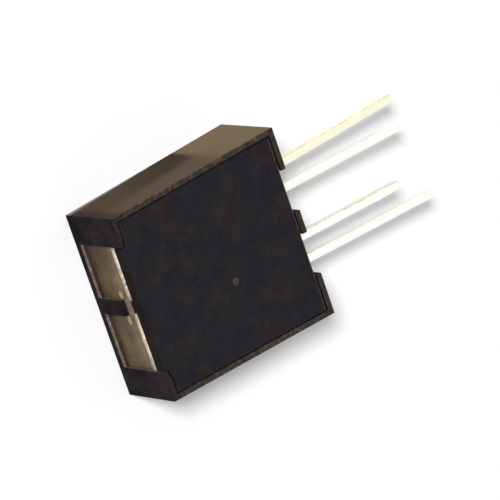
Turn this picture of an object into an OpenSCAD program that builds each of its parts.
// Reflective optical sensor in a drafted black tray with an inset lid.
// An infrared emitter and a phototransistor look out side by side through
// one smoky window moulding, and four square leads leave through the back.
// Millimetres. The origin is the centre of the seating plane at the back:
// -Y is the sensing side, +Y is the way the leads point, +Z is the lid side.

/* [Housing] */
// Width across the back edge
body_w = 11; // [10:0.1:13]
// Depth from the sensing face to the feet
body_d = 11.25; // [10.5:0.05:13]
// Thickness of the floor under the components
floor_t = 0.75; // [0.6:0.05:1.2]
// Mould draft on the four long sides, in degrees
draft = 1.03; // [0:0.01:1.2]
// Thickness of the rim that frames the lid
rim_t = 0.32; // [0.2:0.02:0.5]
// Thickness of the light barrier between the pockets
barrier_t = 0.9; // [0.6:0.05:1]
// Thickness of the back wall below the ledge
back_wall_t = 1.4; // [1:0.1:1.8]
// Thickness of the stop wall behind each component
stop_wall_t = 0.8; // [0.5:0.1:1.2]

/* [Feet] */
// Room between the middle foot and the lead next to it
inner_room = 0.575; // [0.3:0.005:0.8]
// Room between an outer foot and the lead next to it
outer_room = 0.11; // [0.06:0.005:0.6]

/* [Window] */
// Half the width over both window openings
window_half = 3.63; // [3.5:0.01:3.7]
// Height of the lower edge of the openings
sill_h = 0.54; // [0.5:0.02:0.7]
// Height of the lid's brow, from the upper edge of the openings to the rim at the back
brow_h = 0.88; // [0.65:0.01:1]
// Depth of the window's face behind the sensing face
window_recess = 0.21; // [0.1:0.01:0.35]
// Thickness of the window moulding
window_t = 0.75; // [0.5:0.05:0.9]
// How far the moulding reaches behind each side of its opening
window_lap = 0.27; // [0.15:0.01:0.35]
// Size of the bevel along the moulding's upper edge
bevel = 0.48; // [0.3:0.01:0.5]
// Height left between that bevel and the upper edge of the openings
bevel_margin = 0.22; // [0.1:0.01:0.4]
// Height of the barrier's notch that the bridge passes
notch_h = 1.15; // [0.8:0.01:1.2]
// Height of the moulding's flush ledge above the sill
ledge_h = 0.32; // [0.2:0.01:0.6]
// Width of the two small nibs beside the barrier
nib_w = 0.5; // [0.35:0.01:0.8]
// Radius of their round ends
nib_r = 0.15; // [0.1:0.01:0.17]
// Height of the nibs' centres above the notch's floor
nib_rise = 0.04; // [0:0.01:0.3]
// Distance of the nibs from the pane's edge
nib_margin = 0.01; // [0:0.01:0.3]

/* [Lid] */
// Thickness of the lid's plate at the back edge, up to the rim
lid_t = 0.6; // [0.5:0.05:1.2]
// How far the lid stands above the rim
lid_proud = 0.06; // [0:0.01:0.1]
// Gap round the lid
seam = 0.05; // [0.04:0.01:0.16]
// Gap behind the lid, in front of the feet
back_seam = 0.12; // [0.04:0.01:0.2]
// Height of the lid's rib above the bridge
rib_h = 0.59; // [0.1:0.01:0.7]
// Width of that rib
rib_w = 0.7; // [0.4:0.01:0.8]
// How far the rib's front stands behind the panes
rib_recess = 0.02; // [0:0.01:0.4]
// Gap beside the lid's front tab
tab_gap = 0.05; // [0.02:0.01:0.08]

/* [Components] */
// Diameter of the lens
lens_d = 3; // [2.6:0.05:3.4]
// How far the flange stands out round the lens
flange_rim = 0.1; // [0.05:0.01:0.2]
// Thickness of the flange
flange_t = 0.8; // [0.4:0.05:1]
// Overall length of the lens body
lens_len = 5.2; // [4.8:0.1:5.4]
// Air gap between the lens and the window
lens_gap = 0.3; // [0.1:0.05:0.5]
// Depth of the chips behind the tip of the lens
chip_depth = 2.85; // [2.5:0.05:3.1]

/* [Leads] */
// Side of the square leads
lead_a = 0.47; // [0.4:0.01:0.5]
// Pitch of the two leads of one component
lead_pitch = 1.27; // [1.24:0.01:1.3]
// Length of the emitter's outer lead behind the feet
anode_len = 9.5; // [6:0.1:20]
// Length of the emitter's inner lead behind the feet
cathode_len = 9.5; // [6:0.1:20]
// Length of the detector's inner lead behind the feet
collector_len = 8.15; // [6:0.1:20]
// Length of the detector's outer lead behind the feet
emitter_len = 10.1; // [6:0.1:20]
// Sideways lean of the emitter's outer lead at its tip
anode_lean = -0.2; // [-0.5:0.05:0.5]
// Sideways lean of the emitter's inner lead at its tip
cathode_lean = 0.2; // [-0.5:0.05:0.5]
// Sideways lean of the detector's inner lead at its tip
collector_lean = 0.25; // [-0.5:0.05:0.5]
// Sideways lean of the detector's outer lead at its tip
emitter_lean = 0.4; // [-0.5:0.05:0.5]
// Bevel on the sheared tips
tip_bevel = 0.07; // [0.02:0.01:0.15]

/* [Chips] */
// Side of the emitter chip
led_a = 0.3; // [0.2:0.01:0.32]
// Side of the detector chip
detector_a = 0.56; // [0.4:0.01:0.6]
// Thickness of both chips
chip_t = 0.25; // [0.15:0.01:0.3]
// Outer diameter of the emitter's reflector cup
cup_d = 0.74; // [0.7:0.01:0.78]
// Wall left at the mouth of the cup
cup_wall = 0.06; // [0.04:0.01:0.08]
// Depth of the cup
cup_depth = 0.35; // [0.3:0.01:0.4]
// Diameter of the detector's chip pad
pad_d = 0.9; // [0.86:0.01:0.92]
// Thickness of the cup and of the pad
head_t = 0.8; // [0.6:0.05:1]
// Width of the slim end of each bond post
post_w = 0.3; // [0.2:0.01:0.32]
// Distance between the chip's head and the full lead behind that slim end
post_gap = 0.15; // [0.05:0.05:0.4]
// Diameter of the bond wires
wire_d = 0.03; // [0.02:0.005:0.05]

/* [Fits] */
// Clearance round what sits in the housing
fit = 0.03; // [0.01:0.01:0.05]
// Clearance beside each flange in its pocket
pocket_gap = 0.05; // [0.02:0.01:0.1]

/* [Hidden] */

// Past the ends of what a cut goes through
cut = 1;
// Facets of round surfaces, and round the bond wire
round_fn = 48;
wire_fn = 16;

// Heights, with the flange of a component between the floor and the lid
flange_d = lens_d + 2 * flange_rim;
rim_h = floor_t + flange_d + 2 * fit + lid_t;
base_z = -rim_h / 2;
floor_z = base_z + floor_t;
axis_z = floor_z + fit + flange_d / 2;
seat_z = axis_z + flange_d / 2 + fit;
above_z = rim_h;

// Pockets, each round the flange of its component
barrier_half = barrier_t / 2;
pocket_w = flange_d + 2 * pocket_gap;
axis_x = barrier_half + pocket_w / 2;

// Window openings
front_y = -body_d;
slope = tan(draft);
sill_z = base_z + sill_h;
lintel_z = rim_h / 2 - brow_h;
notch_z = lintel_z - notch_h;

// Window moulding, in its slot behind the front lip
slot_y = front_y + window_recess;
slot_d = window_t + 2 * fit;
slot_half = window_half + window_lap + fit;
pane_y = slot_y + fit;
pane_back_y = pane_y + window_t;
bevel_top_z = lintel_z - bevel_margin;
bevel_z = bevel_top_z - bevel;
nib_z = notch_z + nib_rise;
rib_z = lintel_z - rib_h;
rib_y = pane_y + rib_recess;
rib_half = rib_w / 2;
window_top_z = lintel_z - fit;

// Components, from the window backwards
pocket_y = slot_y + slot_d;
tip_y = pane_back_y + fit + lens_gap;
lens_base_y = tip_y + lens_len;
pocket_end_y = lens_base_y + fit;
back_cavity_y = pocket_end_y + stop_wall_t;
back_cavity_end_y = -back_wall_t;
chip_face_y = tip_y + chip_depth;
chip_seat_y = chip_face_y + chip_t;

// Leads of one component, as distances from its axis
lead_off = lead_pitch / 2;
lead_reach = lead_off + lead_a / 2;
post_x = lead_reach - post_w / 2;
post_len = chip_t + head_t + post_gap;

// Gaps between the feet, round the leads that pass them
gap_in = axis_x - lead_reach - inner_room;
gap_out = axis_x + lead_reach + outer_room;
gap_z = axis_z - lead_a / 2 - fit;
tongue_z = axis_z + lead_a / 2 + fit;
lid_back_y = -(rim_t + back_seam);
bend_y = -back_wall_t / 2;

// Half width, top and underside of the drafted body at a depth y
function half_at(y) = body_w / 2 + y * slope;
function top_at(y) = rim_h / 2 + y * slope;
function under_at(y) = base_z - y * slope;

// Area between two depths, set in from the drafted sides
module plan(inset, y0, y1) {
    polygon([
        [-(half_at(y0) - inset), y0], [half_at(y0) - inset, y0],
        [half_at(y1) - inset, y1], [-(half_at(y1) - inset), y1]
    ]);
}

// Outline in the Y-Z plane, drawn out along X
module along_x(x0, x1, points) {
    translate([x0, 0, 0])
        rotate([90, 0, 90])
            linear_extrude(x1 - x0)
                polygon(points);
}

// Box from one corner to the other
module block(low, high) {
    translate(low)
        cube(high - low);
}

// The drafted outside, raised by a height on the lid side
module drafted(raise) {
    intersection() {
        translate([0, 0, base_z - cut])
            linear_extrude(above_z + rim_h)
                plan(0, front_y, 0);
        along_x(-body_w, body_w, [
            [front_y, under_at(front_y)], [0, base_z],
            [0, top_at(0) + raise], [front_y, top_at(front_y) + raise]
        ]);
    }
}

// Pocket, lead slots and window opening of one side, 1 for +X and -1 for -X
module side_cuts(side) {
    x_near = barrier_half;
    x_far = barrier_half + pocket_w;
    lead_in = axis_x - lead_reach - fit * 2;
    lead_out = axis_x + lead_reach + fit * 2;
    mirror([side < 0 ? 1 : 0, 0, 0]) {
        block([x_near, front_y - cut, sill_z], [window_half, slot_y + fit, above_z]);
        block([x_near, slot_y, sill_z], [slot_half, pocket_y, above_z]);
        block([x_near, pocket_y - fit, floor_z], [x_far, pocket_end_y, above_z]);
        block([x_near, back_cavity_y, floor_z], [x_far, back_cavity_end_y, above_z]);
        block([lead_in, pocket_end_y - fit, gap_z], [lead_out, back_cavity_y + fit, above_z]);
        block([gap_in, back_cavity_end_y - fit, gap_z], [gap_out, cut, above_z]);
    }
}

module housing() {
    color("#2d292e")
        difference() {
            drafted(0);
            translate([0, 0, seat_z])
                linear_extrude(above_z)
                    plan(rim_t, front_y + rim_t, -rim_t);
            side_cuts(1);
            side_cuts(-1);
            block([-window_half, front_y - cut, notch_z], [window_half, pocket_y, above_z]);
        }
}

// Tongue of the lid that closes the gap between two feet above the leads
module tongue(side) {
    mirror([side < 0 ? 1 : 0, 0, 0])
        block([gap_in + fit, back_cavity_end_y + fit, tongue_z], [gap_out - fit, lid_back_y, seat_z + fit]);
}

module lid() {
    lid_front_y = front_y + rim_t + seam;
    tab_half = window_half - tab_gap;
    bar_half = slot_half - tab_gap;
    bar_y = slot_y + tab_gap;
    color("#2c282d")
        intersection() {
            drafted(lid_proud);
            union() {
                translate([0, 0, seat_z])
                    linear_extrude(above_z)
                        plan(rim_t + seam, lid_front_y, lid_back_y);
                block([-tab_half, front_y - cut, lintel_z], [tab_half, bar_y + fit, above_z]);
                block([-bar_half, bar_y, lintel_z], [bar_half, lid_front_y + fit, above_z]);
                block([-bar_half, bar_y, lintel_z], [bar_half, pocket_y - tab_gap, seat_z + fit]);
                block([-rib_half, rib_y, rib_z], [rib_half, pocket_y - tab_gap, seat_z + fit]);
                tongue(1);
                tongue(-1);
            }
        }
}

// Low nib with round ends, from one end's axis to the other's
module nib(x0, x1) {
    proud = window_recess / 2;
    for (x = [x0, x1])
        translate([x, pane_y + fit, nib_z])
            rotate([90, 0, 0])
                cylinder(r = nib_r, h = proud + fit, $fn = round_fn);
    block([x0, pane_y - proud, nib_z - nib_r], [x1, pane_y + fit, nib_z + nib_r]);
}

// Plate of the moulding from a height up to its bevelled upper edge
module plate(x0, x1, low_z) {
    along_x(x0, x1, [
        [pane_y, low_z], [pane_back_y, low_z], [pane_back_y, window_top_z],
        [pane_y + bevel, window_top_z], [pane_y + bevel, bevel_top_z], [pane_y, bevel_z]
    ]);
}

// One pane with its ledge and nib, and its end beside the lid's rib
module pane(side) {
    x0 = barrier_half + fit;
    ledge_x = window_half - fit;
    ledge_top = sill_z + ledge_h;
    nib_x = x0 + nib_margin + nib_r;
    mirror([side < 0 ? 1 : 0, 0, 0]) {
        plate(x0, window_half + window_lap, sill_z + fit);
        plate(rib_half + fit, x0 + fit, notch_z + fit);
        block([x0, front_y + fit, sill_z + fit], [ledge_x, pane_y + fit, ledge_top]);
        nib(nib_x, nib_x + nib_w - 2 * nib_r);
    }
}

// Two panes, joined by a bridge of the same thickness in the barrier's notch
module window_cover() {
    bridge_half = rib_half + fit;
    color("#645a46")
        union() {
            pane(1);
            pane(-1);
            block([-bridge_half, pane_y, notch_z + fit], [bridge_half, pane_back_y, rib_z - fit]);
        }
}

// Square lead bent once, with a bevelled tip, between its head and its tip
module lead_bar(x, head_y, len, lean) {
    h = lead_a / 2;
    turn = atan2(lean, len - bend_y);
    mitre = h * tan(turn / 2);
    reach = (len - bend_y) / cos(turn);
    translate([0, 0, axis_z - h])
        linear_extrude(lead_a)
            union() {
                polygon([
                    [x - h, head_y], [x + h, head_y],
                    [x + h, bend_y - mitre], [x - h, bend_y + mitre]
                ]);
                translate([x, bend_y])
                    rotate(-turn)
                        polygon([
                            [-h, mitre], [h, -mitre], [h, reach - tip_bevel],
                            [h - tip_bevel, reach], [-h + tip_bevel, reach], [-h, reach - tip_bevel]
                        ]);
            }
}

// Round solid about a component's axis, between two depths
module about_axis(side, d0, y0, d1, y1) {
    translate([side * axis_x, y0, axis_z])
        rotate([-90, 0, 0])
            cylinder(d1 = d0, d2 = d1, h = y1 - y0, $fn = round_fn);
}

// Arm from the inner lead to the head on the axis
module head_arm(side, head_y) {
    x0 = axis_x - lead_reach;
    mirror([side < 0 ? 1 : 0, 0, 0])
        block([x0, head_y, axis_z - lead_a / 2], [axis_x, head_y + head_t, axis_z + lead_a / 2]);
}

// Slim bond post in front of the outer lead
module bond_post(side) {
    mirror([side < 0 ? 1 : 0, 0, 0])
        block([axis_x + post_x - post_w / 2, chip_face_y, axis_z - lead_a / 2],
            [axis_x + post_x + post_w / 2, chip_face_y + post_len + fit, axis_z + lead_a / 2]);
}

module emitter_cathode_lead() {
    head_y = chip_seat_y - cup_depth;
    color("#f0ece0")
        difference() {
            union() {
                lead_bar(-(axis_x - lead_off), head_y + cup_depth, cathode_len, cathode_lean);
                head_arm(-1, head_y + cup_depth);
                about_axis(-1, cup_d, head_y, cup_d, head_y + head_t);
            }
            about_axis(-1, cup_d - 2 * cup_wall, head_y, led_a * sqrt(2) + fit, chip_seat_y);
        }
}

module emitter_anode_lead() {
    color("#f0ece0")
        union() {
            bond_post(-1);
            lead_bar(-(axis_x + lead_off), chip_face_y + post_len, anode_len, anode_lean);
        }
}

module detector_collector_lead() {
    color("#f0ece0")
        union() {
            lead_bar(axis_x - lead_off, chip_seat_y, collector_len, collector_lean);
            head_arm(1, chip_seat_y);
            about_axis(1, pad_d, chip_seat_y, pad_d, chip_seat_y + head_t);
        }
}

module detector_emitter_lead() {
    color("#f0ece0")
        union() {
            bond_post(1);
            lead_bar(axis_x + lead_off, chip_face_y + post_len, emitter_len, emitter_lean);
        }
}

module chip(side, a) {
    x = side * axis_x;
    block([x - a / 2, chip_face_y, axis_z - a / 2], [x + a / 2, chip_seat_y, axis_z + a / 2]);
}

// Half ring of wire from the chip's face to the face of the bond post
module bond_wire(side) {
    translate([side * (axis_x + post_x / 2), chip_face_y, axis_z])
        rotate([0, 0, 180])
            rotate_extrude(angle = 180, $fn = round_fn)
                translate([post_x / 2, 0])
                    circle(d = wire_d, $fn = wire_fn);
}

module emitter_chip() {
    color("#6b6f78")
        chip(-1, led_a);
}

module detector_chip() {
    color("#39405a")
        chip(1, detector_a);
}

module emitter_bond_wire() {
    color("#d9b45a")
        bond_wire(-1);
}

module detector_bond_wire() {
    color("#d9b45a")
        bond_wire(1);
}

// Domed lens body with its flange, solid
module lens_solid(side) {
    translate([side * axis_x, tip_y + lens_d / 2, axis_z])
        sphere(d = lens_d, $fn = round_fn);
    about_axis(side, lens_d, tip_y + lens_d / 2, lens_d, lens_base_y);
    about_axis(side, flange_d, lens_base_y - flange_t, flange_d, lens_base_y);
}

module emitter_lens() {
    color("#8d7f9a")
        difference() {
            lens_solid(-1);
            emitter_cathode_lead();
            emitter_anode_lead();
            emitter_chip();
            emitter_bond_wire();
        }
}

module detector_lens() {
    color("#4a3f3a")
        difference() {
            lens_solid(1);
            detector_collector_lead();
            detector_emitter_lead();
            detector_chip();
            detector_bond_wire();
        }
}

housing();
lid();
window_cover();
emitter_lens();
emitter_anode_lead();
emitter_cathode_lead();
emitter_chip();
emitter_bond_wire();
detector_lens();
detector_collector_lead();
detector_emitter_lead();
detector_chip();
detector_bond_wire();
